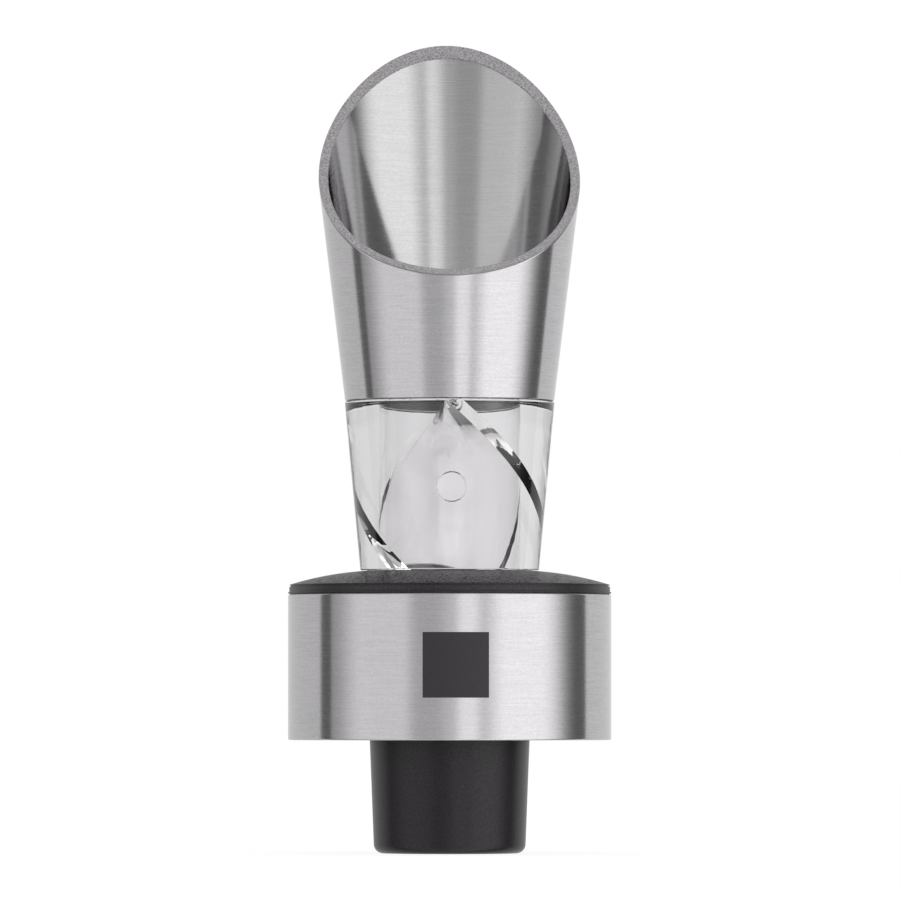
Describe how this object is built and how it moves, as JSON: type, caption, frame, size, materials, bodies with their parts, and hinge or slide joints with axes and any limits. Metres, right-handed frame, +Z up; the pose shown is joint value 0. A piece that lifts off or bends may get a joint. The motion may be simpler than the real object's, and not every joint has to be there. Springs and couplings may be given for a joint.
{
  "type": "wine aerator pourer",
  "caption": "Bottle-top wine aerator and pourer: slanted steel spout on a clear chamber with a twisted vane, black dome, steel collar and tapered silicone stopper.",
  "frame": {"origin": "centre of the stopper's lower face, on the axis of the stopper, collar and chamber", "axes": "+Z up along the common axis towards the spout; the spout opens towards -Y and its tall lip is at +Y; +X is to the right seen from the open side"},
  "size_m": [0.04, 0.04, 0.1014],
  "materials": {
    "steel": "satin, brushed round the axis",
    "black_plastic": "moulded with a fine grain",
    "clear_plastic": "clear, polished mould",
    "silicone": "satin black silicone"
  },
  "bodies": {
    "root": {"stopper": "silicone", "nozzle": "black_plastic", "collar": "steel", "base_cap": "black_plastic", "foot_seal": "silicone", "chamber": "clear_plastic", "spout_seal": "silicone", "spout": "steel"}
  },
  "joints": []
}
